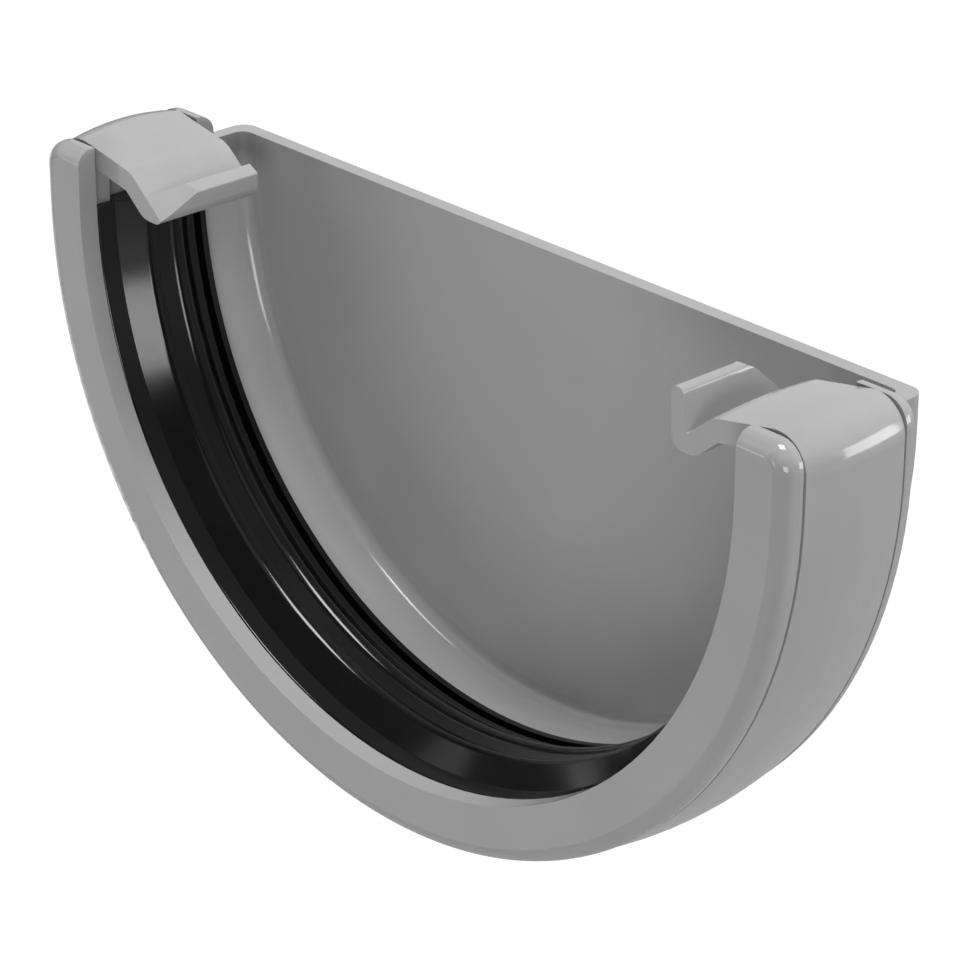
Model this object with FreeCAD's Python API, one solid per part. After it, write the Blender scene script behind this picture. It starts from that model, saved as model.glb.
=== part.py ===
import FreeCAD, Part
import math
import os

# End cap for a half-round gutter, in millimetres.
# The origin is on the gutter's axis, in the outer face of the end plate.
# +Y runs out through the plate, the gutter comes in from -Y, and +Z is up.

# Gutter and socket
gutter_r = 56.0            # outside radius of the half-round gutter
gutter_play = 1.5          # gap between the gutter and the mouth of the socket
cup_draft = 0.2            # how much tighter the bore is behind the seal
wall_t = 2.0               # moulded wall, the same everywhere
cap_depth = 28.9           # from the open face to the outer face of the end plate
cup_top = 4.6              # top edge of the cup above the gutter's axis
plate_round = 1.6          # inside round between the end plate and the wall
plate_edge_round = 2.1     # outside round there

# Rims and the channel between them
rim_t = 2.7                # thickness of each rim
rim_height = 3.0           # how far a rim stands above the channel's floor
rim_top = 8.1              # top of the rims above the gutter's axis
rim_corner = 3.3           # round of a rim's top outer corners, seen along the gutter
rim_round = 2.1            # round along the front rim's exposed edge
back_rim_round = 2.4       # round along the back rim's exposed edge
channel_w = 16.5           # clear width between the rims
floor_corner = 0.6         # round of the channel floor's top corners

# Groove for the seal
land_w = 2.9               # shallow step behind the front rim
land_depth = 1.0
groove_depth = 2.5

# Rubber seal
seal_fit = 0.1             # gap between the seal and its groove
seal_edge_round = 0.3      # round of the seal's front edge
lip1_at = 0.363            # first lip, as a share of the seal's width from its front edge
lip1_bite = 1.35           # how far the first lip reaches inside the gutter's outside radius
lip1_round = 1.1
dip_at = 0.455             # dip between the two lips, as a share of the width
dip_depth = 0.52           # below the first lip
rise_at = 0.578            # foot of the second lip, as a share of the width
rise_height = 0.12         # how far the gentle rise from the dip has come up by there
lip2_at = 0.5995           # second lip, as a share of the width
lip2_bite = 1.34
lip2_round = 0.9
lip2_back_at = 0.672       # back edge of the second lip's flat top, as a share of the width
lip2_back_round = 1.5
shelf_at = 0.822           # front of the shelf behind the second lip, as a share of the width
shelf_depth = 1.7          # below the second lip
shelf_foot_round = 1.5
shelf_end_at = 0.91        # back edge of the shelf, as a share of the width
shelf_round = 0.6
tail_w = 0.88              # narrow band at the back of the seal
tail_drop = 0.15           # how far that band stays outside the gutter's outside radius
tail_groove_w = 0.55       # floor of the narrow groove in front of that band
tail_groove_depth = 1.5

# Strap
front_gap = 0.45           # gap between the strap and the front rim
back_gap = 0.3             # gap between the strap and the back rim
strap_seat = 0.2           # gap between the strap and the channel's floor
strap_t = 2.8              # thickness at the strap's edges
strap_crown = 0.8          # extra thickness at mid width, where the outside bulges
strap_corner = 4.3         # outside round where the strap turns in over the wall
arm_gap = 0.3              # gap under the arm, above the cup's top edge
arm_drop = 10.8            # degrees that the arm falls towards the middle
arm_crown = 0.43           # bulge left at the end of the arm

# Clip bends at the ends of the arms
bend_drop = 40.0           # degrees that the bend falls towards the middle
bend_t = 2.65              # thickness of the bend
bend_round = 4.0           # round along the fold between the arm and the bend
clip_low = 0.93            # lowest point of both clips above the gutter's axis
clip_face = 12.6           # from the mouth's side to the clip's inward face
heel_in = 3.53             # from the inward face to where the bend's underside comes down
heel_round = 3.0           # round between the bend and the clip's underside

# Tall lip that is pressed with a thumb, on the +X side
thumb_top = 8.5            # top of the lip above the gutter's axis
thumb_t = 1.85             # thickness of the lip
thumb_lean = 0.4           # how far its top leans towards the middle
thumb_round = 0.85         # round of its top
thumb_toe = 1.8            # round under the lip
thumb_root = 0.15          # flat left on the bend's underside before its heel
thumb_valley = 0.2         # how much thicker the lip is at its root
thumb_valley_round = 0.15  # round between the bend and the lip
thumb_cut_w = 5.25         # length of the corner that is cut off at the plate's end
thumb_cut_low = 3.7        # height at which the cut runs out
thumb_cut_round = 4.5

# Low lip of the hook on the -X side
hook_crest = 4.95          # top of the lip above the gutter's axis
hook_crest_in = 1.55       # from the inward face to the crest
hook_edge = 4.1            # top of the inward face
hook_root_in = 3.05        # from the inward face to where the lip leaves the bend
hook_edge_round = 0.3
hook_toe = 1.2             # round under the lip
hook_cut_w = 6.1           # length of the corner that is cut off at the open end
hook_cut_round = 1.6

# Worked out from the sizes above
bore_r = gutter_r + gutter_play
cup_bore_r = bore_r - cup_draft
land_r = bore_r + land_depth
groove_r = bore_r + groove_depth
floor_r = groove_r + wall_t
rim_r = floor_r + rim_height
y_front = -cap_depth
y_channel = y_front + rim_t
y_land = y_channel + land_w
y_back_rim = y_channel + channel_w
y_rim_end = y_back_rim + rim_t
strap_in_r = floor_r + strap_seat
strap_out_r = strap_in_r + strap_t
strap_y0 = y_channel + front_gap
strap_y1 = y_back_rim - back_gap
tool_over = 3.0            # how far a cutting shape runs past what it cuts
above = max(rim_top, thumb_top) + tool_over

X_AXIS = FreeCAD.Vector(1, 0, 0)
Y_AXIS = FreeCAD.Vector(0, 1, 0)
Z_AXIS = FreeCAD.Vector(0, 0, 1)


def at_y(points, y):
    """Turn (x, z, round) corners into corners in the plane at y."""
    return [(FreeCAD.Vector(x, y, z), r) for x, z, r in points]


def rounded_wire(corners):
    """Closed wire through the corners, with an arc of its own radius at each."""
    edges = []
    marks = []
    count = len(corners)
    for i, (corner, radius) in enumerate(corners):
        back = (corners[i - 1][0] - corner).normalize()
        ahead = (corners[(i + 1) % count][0] - corner).normalize()
        if radius <= 0:
            marks.append((corner, corner, corner))
            continue
        half = back.getAngle(ahead) / 2
        run = radius / math.tan(half)
        centre = corner + (back + ahead).normalize() * (radius / math.sin(half))
        middle = centre + (corner - centre).normalize() * radius
        marks.append((corner + back * run, middle, corner + ahead * run))
    for i, (start, middle, end) in enumerate(marks):
        if (end - start).Length > 1e-6:
            edges.append(Part.Arc(start, middle, end).toShape())
        following = marks[(i + 1) % count][0]
        if (following - end).Length > 1e-6:
            edges.append(Part.makeLine(end, following))
    return Part.Wire(edges)


def trough(radius, top, y0, y1, corner=0.0):
    """Solid half round with straight sides up to top, between two planes."""
    arc = Part.Arc(FreeCAD.Vector(radius, y0, 0), FreeCAD.Vector(0, y0, -radius),
                   FreeCAD.Vector(-radius, y0, 0)).toShape()
    left, right = -radius, radius
    run = []
    if corner > 0:
        dip = corner * (1 - math.sqrt(0.5))
        a = FreeCAD.Vector(left, y0, top - corner)
        b = FreeCAD.Vector(left + corner, y0, top)
        c = FreeCAD.Vector(right - corner, y0, top)
        d = FreeCAD.Vector(right, y0, top - corner)
        run.append(Part.makeLine(FreeCAD.Vector(left, y0, 0), a))
        run.append(Part.Arc(a, FreeCAD.Vector(left + dip, y0, top - dip), b).toShape())
        run.append(Part.makeLine(b, c))
        run.append(Part.Arc(c, FreeCAD.Vector(right - dip, y0, top - dip), d).toShape())
        run.append(Part.makeLine(d, FreeCAD.Vector(right, y0, 0)))
    else:
        b = FreeCAD.Vector(left, y0, top)
        c = FreeCAD.Vector(right, y0, top)
        run.append(Part.makeLine(FreeCAD.Vector(left, y0, 0), b))
        run.append(Part.makeLine(b, c))
        run.append(Part.makeLine(c, FreeCAD.Vector(right, y0, 0)))
    return Part.Face(Part.Wire([arc] + run)).extrude(Y_AXIS * (y1 - y0))


def edges_in_plane(shape, y, skip_top=None):
    """Edges that lie in the plane at y, without those along the height skip_top."""
    found = []
    for edge in shape.Edges:
        box = edge.BoundBox
        if abs(box.YMin - y) > 1e-4 or abs(box.YMax - y) > 1e-4:
            continue
        if skip_top is not None and box.ZMin > skip_top - 1e-4:
            continue
        found.append(edge)
    return found


def edges_between(shape, point):
    """Edges that cross the strap, with both ends over a point (x, z)."""
    found = []
    for edge in shape.Edges:
        ends = [vertex.Point for vertex in edge.Vertexes]
        near = [abs(end.x - point[0]) + abs(end.z - point[1]) < 1e-4 for end in ends]
        if len(ends) == 2 and all(near) and abs(ends[0].y - ends[1].y) > 1:
            found.append(edge)
    return found


def rim(y0, y1, exposed, rounding):
    """One rim, rounded along the edge of its exposed face."""
    plate = trough(rim_r, rim_top, y0, y1, rim_corner)
    return plate.makeFillet(rounding, edges_in_plane(plate, exposed))


def cup():
    """End plate and the wall behind the back rim, with the outside corner rounded."""
    solid = trough(cup_bore_r + wall_t, cup_top, y_back_rim, 0)
    return solid.makeFillet(plate_edge_round, edges_in_plane(solid, 0, cup_top))


def socket():
    """Everything that the moulding is hollow for."""
    mouth = trough(bore_r, above, y_front - tool_over, y_channel)
    land = trough(land_r, above, y_channel, y_land)
    groove = trough(groove_r, above, y_land, y_back_rim)
    inside = trough(cup_bore_r, above, y_back_rim - tool_over, -wall_t)
    inside = inside.makeFillet(plate_round, edges_in_plane(inside, -wall_t, above))
    return mouth.fuse([land, groove, inside])


def end_cap_body():
    floor = trough(floor_r, cup_top, y_channel - rim_t / 2, y_back_rim + rim_t / 2, floor_corner)
    front = rim(y_front, y_channel, y_front, rim_round)
    back = rim(y_back_rim, y_rim_end, y_rim_end, back_rim_round)
    return front.fuse([floor, back, cup()]).cut(socket()).removeSplitter()


def seal_outline():
    """Section of the seal at +X, with the groove side first."""
    y0 = y_channel + seal_fit
    y1 = y_back_rim - seal_fit
    width = y1 - y0
    step = y_land + seal_fit
    tail = y1 - tail_w
    lip1_r = gutter_r - lip1_bite
    dip_r = lip1_r + dip_depth
    lip2_r = gutter_r - lip2_bite
    shelf_r = lip2_r + shelf_depth
    tail_r = gutter_r + tail_drop
    return [
        (land_r - seal_fit, y0, 0),
        (land_r - seal_fit, step, 0),
        (groove_r - seal_fit, step, 0),
        (groove_r - seal_fit, y1, 0),
        (tail_r, y1, 0),
        (tail_r, tail, 0),
        (tail_r + tail_groove_depth, tail, 0),
        (tail_r + tail_groove_depth, tail - tail_groove_w, 0),
        (shelf_r, y0 + width * shelf_end_at, shelf_round),
        (shelf_r, y0 + width * shelf_at, shelf_foot_round),
        (lip2_r, y0 + width * lip2_back_at, lip2_back_round),
        (lip2_r, y0 + width * lip2_at, lip2_round),
        (dip_r - rise_height, y0 + width * rise_at, 0),
        (dip_r, y0 + width * dip_at, 0),
        (lip1_r, y0 + width * lip1_at, lip1_round),
        (bore_r, y_land, 0),
        (bore_r, y0, seal_edge_round),
    ]


def rubber_seal():
    corners = [(FreeCAD.Vector(r, y, 0), rounding) for r, y, rounding in seal_outline()]
    section = Part.Face(rounded_wire(corners))
    return section.revolve(FreeCAD.Vector(0, 0, 0), Y_AXIS, 180)


def band_section(top, under, crown):
    """Section across the strap, from an outer and an inner point, bulging by crown."""
    top0 = FreeCAD.Vector(top[0], strap_y0, top[1])
    top1 = FreeCAD.Vector(top[0], strap_y1, top[1])
    under0 = FreeCAD.Vector(under[0], strap_y0, under[1])
    under1 = FreeCAD.Vector(under[0], strap_y1, under[1])
    if crown > 0:
        middle = (top0 + top1) * 0.5 + (top0 - under0).normalize() * crown
        outside = Part.Arc(top0, middle, top1).toShape()
    else:
        outside = Part.makeLine(top0, top1)
    sides = [Part.makeLine(top1, under1), Part.makeLine(under1, under0), Part.makeLine(under0, top0)]
    return Part.Wire([outside] + sides)


def along(point, degrees, distance):
    """Point at a distance from another, at an angle above +X in the XZ plane."""
    angle = math.radians(degrees)
    return (point[0] + distance * math.cos(angle), point[1] + distance * math.sin(angle))


def height_on(point, degrees, x):
    """Height at x of the line through a point."""
    return point[1] + (x - point[0]) * math.tan(math.radians(degrees))


def crossing(p, p_degrees, q, q_degrees):
    """Point where two lines in the XZ plane cross."""
    a = math.tan(math.radians(p_degrees))
    b = math.tan(math.radians(q_degrees))
    x = (q[1] - p[1] + a * p[0] - b * q[0]) / (a - b)
    return (x, p[1] + a * (x - p[0]))


# Places on the strap seen along the gutter, as (x, z), all written for the +X side
face_x = bore_r - clip_face
heel = (face_x + heel_in, clip_low)
heel_run = heel_round * math.tan(math.radians(bend_drop / 2))
bend_over = along(heel, 90 + bend_drop, bend_t)
arm_under = (bore_r, cup_top + arm_gap)
arm_over = along(arm_under, 90 + arm_drop, strap_t)
arm_end = crossing(arm_over, arm_drop, bend_over, bend_drop)
arm_end_under = crossing(arm_under, arm_drop, heel, bend_drop)
turn_x = strap_out_r - strap_corner
turn_z = height_on(arm_over, arm_drop, turn_x) - strap_corner / math.cos(math.radians(arm_drop))


def clip_arm(root_x):
    """Turn over the wall, the arm and the bend, down to the lip's root."""
    outer = along((turn_x, turn_z), 90 + arm_drop, strap_corner)
    inner = along((turn_x, turn_z), 90 + arm_drop, strap_corner - strap_t)
    root = (root_x, height_on(arm_end, bend_drop, root_x))
    root_under = along(root, bend_drop - 90, bend_t)
    side = band_section((strap_out_r, turn_z), (strap_in_r, turn_z), strap_crown)
    over = band_section(outer, inner, strap_crown)
    end = band_section(arm_end, arm_end_under, arm_crown)
    low = band_section(root, root_under, 0)
    turn = Part.Face(side).revolve(FreeCAD.Vector(turn_x, 0, turn_z), Y_AXIS, -90 - arm_drop)
    arm = Part.makeLoft([over, end], True, True)
    bend = Part.makeLoft([end, low], True, True)
    folded = arm.fuse(bend)
    folded = folded.makeFillet(bend_round, edges_between(folded, arm_end))
    return [turn, folded], root, root_under


def prism(outline):
    """Rounded outline in the XZ plane, as wide as the strap."""
    face = Part.Face(rounded_wire(at_y(outline, strap_y0)))
    return face.extrude(Y_AXIS * (strap_y1 - strap_y0))


def corner_cut(y_end, y_top, low, high, rounding, degrees, reach):
    """Tool for a lip's slanting corner, swept inwards over the lip from its face."""
    outward = math.copysign(tool_over, y_end - y_top)
    y_far = (strap_y0 if outward > 0 else strap_y1) - outward
    low_out = low + (high - low) / (y_top - y_end) * outward
    outline = [(y_end + outward, low_out, 0), (y_top, high, rounding), (y_far, high, 0),
               (y_far, above, 0), (y_end + outward, above, 0)]
    corners = [(FreeCAD.Vector(face_x, y, z), r) for y, z, r in outline]
    way = FreeCAD.Vector(1, 0, math.tan(math.radians(degrees)))
    tool = Part.Face(rounded_wire(corners)).extrude(way * (reach + tool_over))
    tool.translate(way * -tool_over)
    return tool


def thumb_clip():
    """Clip with the tall lip, at +X."""
    root_x = heel[0] + heel_run * math.cos(math.radians(bend_drop)) \
        - bend_t * math.sin(math.radians(bend_drop)) + thumb_root
    arm, root, root_under = clip_arm(root_x)
    valley_x = face_x + thumb_t + thumb_valley
    top_x = face_x - thumb_lean
    lip = prism([
        (root[0], root[1], 0),
        (valley_x, height_on(arm_end, bend_drop, valley_x), thumb_valley_round),
        (top_x + thumb_t, thumb_top, thumb_round),
        (top_x, thumb_top, thumb_round),
        (face_x, clip_low, thumb_toe),
        (heel[0], heel[1], heel_round),
        (root_under[0], root_under[1], 0),
    ])
    cut = corner_cut(strap_y1, strap_y1 - thumb_cut_w, thumb_cut_low, thumb_top,
                     thumb_cut_round, 0, valley_x - face_x)
    return arm + [lip.cut(cut)]


def hook_clip():
    """Clip with the low lip, made at +X and turned over to -X."""
    arm, root, root_under = clip_arm(face_x + hook_root_in)
    lip = prism([
        (root[0], root[1], 0),
        (face_x + hook_crest_in, hook_crest, hook_edge_round),
        (face_x, hook_edge, hook_edge_round),
        (face_x, clip_low, hook_toe),
        (heel[0], heel[1], heel_round),
        (root_under[0], root_under[1], 0),
    ])
    cut_low = height_on(arm_end, bend_drop, face_x)
    cut = corner_cut(strap_y0, strap_y0 + hook_cut_w, cut_low, hook_edge,
                     hook_cut_round, bend_drop, hook_root_in)
    pieces = arm + [lip.cut(cut)]
    return [piece.mirror(FreeCAD.Vector(0, 0, 0), X_AXIS) for piece in pieces]


def retaining_strap():
    section = Part.Face(band_section((strap_out_r, 0), (strap_in_r, 0), strap_crown))
    ring = section.revolve(FreeCAD.Vector(0, 0, 0), Y_AXIS, 180)
    side = section.extrude(Z_AXIS * turn_z)
    other_side = side.mirror(FreeCAD.Vector(0, 0, 0), X_AXIS)
    return ring.fuse([side, other_side] + thumb_clip() + hook_clip()).removeSplitter()


def write(shape, name):
    """Write one piece, and report its size and soundness."""
    shape.exportStep("parts/" + name + ".step")
    box = shape.BoundBox
    print(name, "solids", len(shape.Solids), "valid", shape.isValid(), "volume", round(shape.Volume, 1),
          "box", [round(v, 2) for v in (box.XMin, box.YMin, box.ZMin, box.XMax, box.YMax, box.ZMax)])


os.makedirs("parts", exist_ok=True)
write(end_cap_body(), "end_cap_body")
write(rubber_seal(), "rubber_seal")
write(retaining_strap(), "retaining_strap")
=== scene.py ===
import bpy
import math
from mathutils import Matrix, Vector

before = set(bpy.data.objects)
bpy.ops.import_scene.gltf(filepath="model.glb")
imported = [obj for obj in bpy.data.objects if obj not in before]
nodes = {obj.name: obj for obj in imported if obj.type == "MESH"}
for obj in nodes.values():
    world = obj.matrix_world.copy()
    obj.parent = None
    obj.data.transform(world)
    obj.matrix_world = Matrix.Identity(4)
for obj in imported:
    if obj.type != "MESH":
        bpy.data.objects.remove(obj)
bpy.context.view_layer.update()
scene = bpy.context.scene

# Lengths are in metres, in the frame's own axes: the mouth is at -Y and the end plate at Y = 0.
EVEN = (1, 1, 1)
IOR = 1.5

PLATE_EDGE = (0.0545, 0.0555)
PLATE_DEPTH = (-0.0032, -0.0024)
PLATE_ROUGHNESS = 0.3

MIDDLE = Vector((0, -0.014, -0.02))
FAR, NEAR = 2.4, 0.6
ROOM_LIGHT = 0.09

FLOOR_RADIUS, FLOOR_Z = 3.0, -0.45
FLOOR_GREY = (0.4, 0.4, 0.4, 1)
WHITE_GLOW, WHITE_SHARE = 1.15, 0.85


def new_material(name):
    mat = bpy.data.materials.new(name)
    mat.use_nodes = True
    tree = mat.node_tree
    shader = tree.nodes["Principled BSDF"]
    return mat, tree, shader


def object_grain(tree, scale):
    """Object coordinates, stretched for one pattern."""
    coord = tree.nodes.new("ShaderNodeTexCoord")
    mapping = tree.nodes.new("ShaderNodeMapping")
    mapping.inputs["Scale"].default_value = scale
    tree.links.new(coord.outputs["Object"], mapping.inputs["Vector"])
    return mapping.outputs["Vector"]


def noise(tree, stretch, size, detail=2.0, rough=0.55, warp=0.0):
    vector = object_grain(tree, stretch)
    node = tree.nodes.new("ShaderNodeTexNoise")
    node.inputs["Scale"].default_value = size
    node.inputs["Detail"].default_value = detail
    node.inputs["Roughness"].default_value = rough
    node.inputs["Distortion"].default_value = warp
    tree.links.new(vector, node.inputs["Vector"])
    return node.outputs["Fac"]


def spread(tree, value, low, high, start=0.3, end=0.7):
    """The value between start and end, spread over low to high."""
    node = tree.nodes.new("ShaderNodeMapRange")
    node.interpolation_type = "SMOOTHSTEP"
    node.inputs["From Min"].default_value = start
    node.inputs["From Max"].default_value = end
    node.inputs["To Min"].default_value = low
    node.inputs["To Max"].default_value = high
    tree.links.new(value, node.inputs["Value"])
    return node.outputs["Result"]


def blend_grey(tree, fac, grey_a, grey_b):
    """From one grey to the other as fac goes from 0 to 1. A grey is a number or a link."""
    node = tree.nodes.new("ShaderNodeMix")
    node.data_type = "RGBA"
    for socket, grey in (("A", grey_a), ("B", grey_b)):
        target = [s for s in node.inputs if s.name == socket and s.type == "RGBA"][0]
        if isinstance(grey, float):
            target.default_value = (grey, grey, grey, 1.0)
        else:
            tree.links.new(grey, target)
    fac_in = [s for s in node.inputs if s.name == "Factor" and s.type == "VALUE"][0]
    tree.links.new(fac, fac_in)
    return [s for s in node.outputs if s.type == "RGBA"][0]


def combine(tree, operation, a, b):
    node = tree.nodes.new("ShaderNodeMath")
    node.operation = operation
    tree.links.new(a, node.inputs[0])
    tree.links.new(b, node.inputs[1])
    return node.outputs[0]


def bump(tree, height, depth, below=None):
    node = tree.nodes.new("ShaderNodeBump")
    node.inputs["Strength"].default_value = 1.0
    node.inputs["Distance"].default_value = depth
    tree.links.new(height, node.inputs["Height"])
    if below is not None:
        tree.links.new(below, node.inputs["Normal"])
    return node.outputs["Normal"]


def plate_face(tree, amount):
    """The given amount on the end plate inside its edge, nothing elsewhere."""
    coord = tree.nodes.new("ShaderNodeTexCoord")
    parts = tree.nodes.new("ShaderNodeSeparateXYZ")
    tree.links.new(coord.outputs["Object"], parts.inputs[0])
    flat = tree.nodes.new("ShaderNodeVectorMath")
    flat.operation = "MULTIPLY"
    flat.inputs[1].default_value = (1, 0, 1)
    tree.links.new(coord.outputs["Object"], flat.inputs[0])
    radius = tree.nodes.new("ShaderNodeVectorMath")
    radius.operation = "LENGTH"
    tree.links.new(flat.outputs["Vector"], radius.inputs[0])
    inside = spread(tree, radius.outputs["Value"], 1.0, 0.0, *PLATE_EDGE)
    deep = spread(tree, parts.outputs["Y"], 0.0, amount, *PLATE_DEPTH)
    return combine(tree, "MULTIPLY", inside, deep)


def moulded_grey(name, body, pale, dull, along, matt_plate=False):
    """Grey PVC from a polished mould: faint flow bands, a fine skin."""
    mat, tree, shader = new_material(name)
    flow = noise(tree, along, 60.0, 4.0, 0.5, 0.6)
    cloud = noise(tree, EVEN, 38.0, 2.0, 0.5, 0.3)
    speck = noise(tree, EVEN, 2600.0, 2.0, 0.6)
    tone = blend_grey(tree, spread(tree, flow, 0.0, 1.0), body, pale)
    tone = blend_grey(tree, spread(tree, cloud, 0.0, 0.55), tone, dull)
    tree.links.new(tone, shader.inputs["Base Color"])
    skin = combine(tree, "ADD", spread(tree, flow, 0.0, 0.02), spread(tree, speck, 0.08, 0.09))
    if matt_plate:
        skin = combine(tree, "ADD", skin, plate_face(tree, PLATE_ROUGHNESS))
    tree.links.new(skin, shader.inputs["Roughness"])
    shader.inputs["IOR"].default_value = IOR
    waves = bump(tree, noise(tree, EVEN, 210.0), 0.000012)
    fine = bump(tree, speck, 0.0000012, waves)
    tree.links.new(fine, shader.inputs["Normal"])
    return mat


def black_rubber(name):
    """Smooth black rubber: a bloom of fine dust, a fine skin."""
    mat, tree, shader = new_material(name)
    bloom = noise(tree, EVEN, 90.0, 4.0, 0.6, 0.4)
    speck = noise(tree, EVEN, 3200.0, 2.0, 0.6)
    tone = blend_grey(tree, spread(tree, bloom, 0.0, 1.0), 0.003, 0.005)
    tree.links.new(tone, shader.inputs["Base Color"])
    skin = combine(tree, "ADD", spread(tree, bloom, 0.0, 0.02), spread(tree, speck, 0.12, 0.15))
    tree.links.new(skin, shader.inputs["Roughness"])
    shader.inputs["IOR"].default_value = IOR
    fine = bump(tree, speck, 0.000002)
    tree.links.new(fine, shader.inputs["Normal"])
    return mat


body_grey = moulded_grey("body_grey_pvc", 0.41, 0.43, 0.39, (1, 3, 1), matt_plate=True)
strap_grey = moulded_grey("strap_grey_pvc", 0.42, 0.44, 0.40, (1, 4, 1))
seal_black = black_rubber("seal_black_rubber")

nodes["end_cap_body"].material_slots[0].material = body_grey
nodes["retaining_strap"].material_slots[0].material = strap_grey
nodes["rubber_seal"].material_slots[0].material = seal_black


def direction(az, el):
    """In radians; az runs from the open side towards +X."""
    return Vector((math.sin(az) * math.cos(el), -math.cos(az) * math.cos(el), math.sin(el)))


def place_camera():
    """Seen from the right front, 47 degrees round and 25 degrees up."""
    az, el, roll = 0.8207896576827036, 0.44065610781214645, 0.0027720744319392706
    aim = Vector((0.018230, -0.0289, -0.012033))
    distance = 0.46130
    back = direction(az, el)
    right = Vector((math.cos(az), math.sin(az), 0))
    up = back.cross(right)
    level = right * math.cos(roll) + up * math.sin(roll)
    upright = up * math.cos(roll) - right * math.sin(roll)
    spot = aim + back * distance
    data = bpy.data.cameras.new("camera")
    data.lens = 147.726
    data.sensor_width = 36.0
    data.clip_start = 0.01
    data.clip_end = 50.0
    camera = bpy.data.objects.new("camera", data)
    camera.matrix_world = Matrix((
        (level.x, upright.x, back.x, spot.x),
        (level.y, upright.y, back.y, spot.y),
        (level.z, upright.z, back.z, spot.z),
        (0, 0, 0, 1)))
    scene.collection.objects.link(camera)
    scene.camera = camera


place_camera()


def soft_box(name, az, el, wide, high, bright, reach=FAR):
    """A lamp at az, el that is seen wide by high from the part, all four in degrees."""
    way = direction(math.radians(az), math.radians(el))
    data = bpy.data.lights.new(name, "AREA")
    data.shape = "RECTANGLE"
    data.size = 2 * reach * math.tan(math.radians(wide / 2))
    data.size_y = 2 * reach * math.tan(math.radians(high / 2))
    data.energy = bright * math.pi * data.size * data.size_y
    lamp = bpy.data.objects.new(name, data)
    lamp.location = MIDDLE + way * reach
    lamp.rotation_euler = way.to_track_quat("Z", "Y").to_euler()
    scene.collection.objects.link(lamp)


# These are seen as highlights.
soft_box("ceiling", 150, 86.5, 26, 25, 13.6)
soft_box("right_front", 46, 2, 26, 16.5, 6.4)
soft_box("right_back", 138, 1, 25, 18.5, 5.8)
soft_box("front", -13, -2, 10, 12, 3.2)
soft_box("left_front", -41, -7, 18, 14, 3.0)
# These only fill. The low ones stand near, so that the floor doesn't hide them.
soft_box("back_wall", 175, 28, 110, 70, 0.55)
soft_box("front_high", 50, 52, 38, 38, 0.35)
soft_box("left_high", -45, 20, 36, 36, 0.75)
soft_box("front_low", -47, -24, 36, 32, 0.6, NEAR)
soft_box("left_low", -95, -18, 36, 30, 0.8, NEAR)
soft_box("right_low", 95, -20, 38, 34, 0.25, NEAR)


def background(tree, strength):
    node = tree.nodes.new("ShaderNodeBackground")
    node.inputs["Color"].default_value = (1, 1, 1, 1)
    node.inputs["Strength"].default_value = strength
    return node.outputs[0]


def studio_world():
    """A dim room to the part, pure white to the camera."""
    world = bpy.data.worlds.new("studio")
    scene.world = world
    world.use_nodes = True
    tree = world.node_tree
    tree.nodes.clear()
    out = tree.nodes.new("ShaderNodeOutputWorld")
    room = background(tree, ROOM_LIGHT)
    white = background(tree, 1.0)
    path = tree.nodes.new("ShaderNodeLightPath")
    mix = tree.nodes.new("ShaderNodeMixShader")
    tree.links.new(path.outputs["Is Camera Ray"], mix.inputs["Fac"])
    tree.links.new(room, mix.inputs[1])
    tree.links.new(white, mix.inputs[2])
    tree.links.new(mix.outputs[0], out.inputs["Surface"])


studio_world()


def pale_floor():
    """White to the camera, with the shadow that the part throws on it."""
    bpy.ops.object.select_all(action="DESELECT")
    bpy.ops.mesh.primitive_circle_add(
        vertices=96, radius=FLOOR_RADIUS, fill_type="NGON", location=(0, 0, FLOOR_Z))
    floor = bpy.context.object
    floor.name = "floor"
    mat, tree, shader = new_material("floor_white")
    shader.inputs["Base Color"].default_value = FLOOR_GREY
    shader.inputs["Roughness"].default_value = 0.9
    glow = tree.nodes.new("ShaderNodeEmission")
    glow.inputs["Strength"].default_value = WHITE_GLOW
    path = tree.nodes.new("ShaderNodeLightPath")
    share = tree.nodes.new("ShaderNodeMath")
    share.operation = "MULTIPLY"
    share.inputs[1].default_value = WHITE_SHARE
    mix = tree.nodes.new("ShaderNodeMixShader")
    tree.links.new(path.outputs["Is Camera Ray"], share.inputs[0])
    tree.links.new(share.outputs[0], mix.inputs["Fac"])
    tree.links.new(shader.outputs[0], mix.inputs[1])
    tree.links.new(glow.outputs[0], mix.inputs[2])
    tree.links.new(mix.outputs[0], tree.nodes["Material Output"].inputs["Surface"])
    floor.data.materials.append(mat)


pale_floor()

scene.view_settings.view_transform = "Standard"
